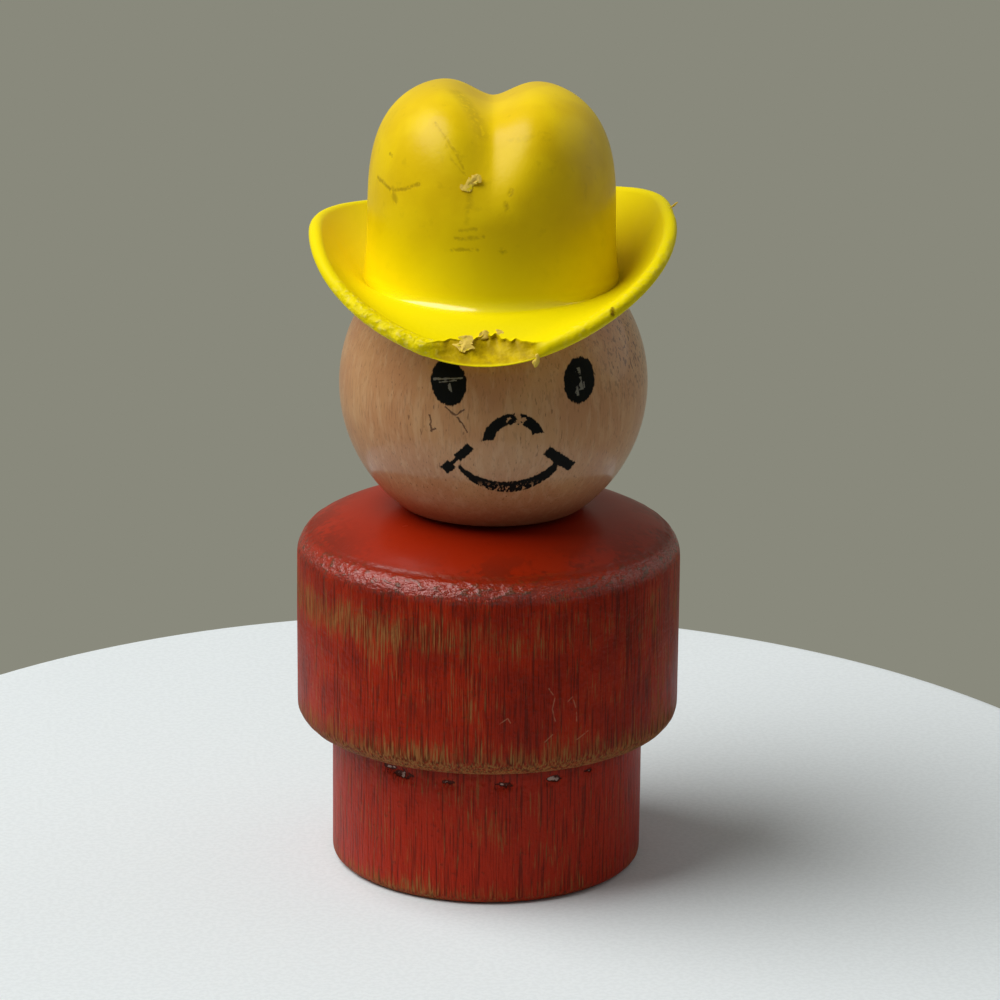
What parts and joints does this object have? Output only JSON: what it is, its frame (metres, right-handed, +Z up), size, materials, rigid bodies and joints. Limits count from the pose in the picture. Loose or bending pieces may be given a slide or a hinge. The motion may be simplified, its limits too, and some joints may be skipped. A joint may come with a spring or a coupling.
{
  "type": "wooden toy figure",
  "caption": "Turned wooden peg figure: barrel torso on a round base, ball head that turns on a neck dowel, and a moulded hat with creased crown and curled brim that turns and lifts off.",
  "frame": {"origin": "centre of the base's flat underside", "axes": "+Z up along the figure's turned axis, -Y the way the face looks, +X to the right of a viewer who faces it"},
  "size_m": [0.0264, 0.0281, 0.0547],
  "materials": {
    "red_lacquered_wood": "orange-red lacquer on turned wood, rubbed through to the grain at the edges",
    "dowel_wood": "bare hardwood dowel",
    "clear_lacquered_wood": "satin clear lacquer on tan wood, face printed in black",
    "yellow_plastic": "satin moulded yellow plastic, scuffed and bitten at the front of the rim"
  },
  "bodies": {
    "body": {"body": "red_lacquered_wood", "neck_dowel": "dowel_wood"},
    "head": {"head": "clear_lacquered_wood"},
    "hat_peg": {"hat_peg": "dowel_wood"},
    "hat": {"hat": "yellow_plastic"}
  },
  "joints": [
    {"name": "head_turn", "type": "hinge", "parent": "body", "child": "head", "pos_m": [0, 0, 0.0253], "axis": [0, 0, 1], "continuous": true},
    {"name": "hat_turn", "type": "hinge", "parent": "head", "child": "hat_peg", "pos_m": [0, 0, 0.0446], "axis": [0, 0, 1], "continuous": true},
    {"name": "hat_pull", "type": "slide", "parent": "hat_peg", "child": "hat", "axis": [0, 0, 1], "range_m": [0, 0.013]}
  ]
}
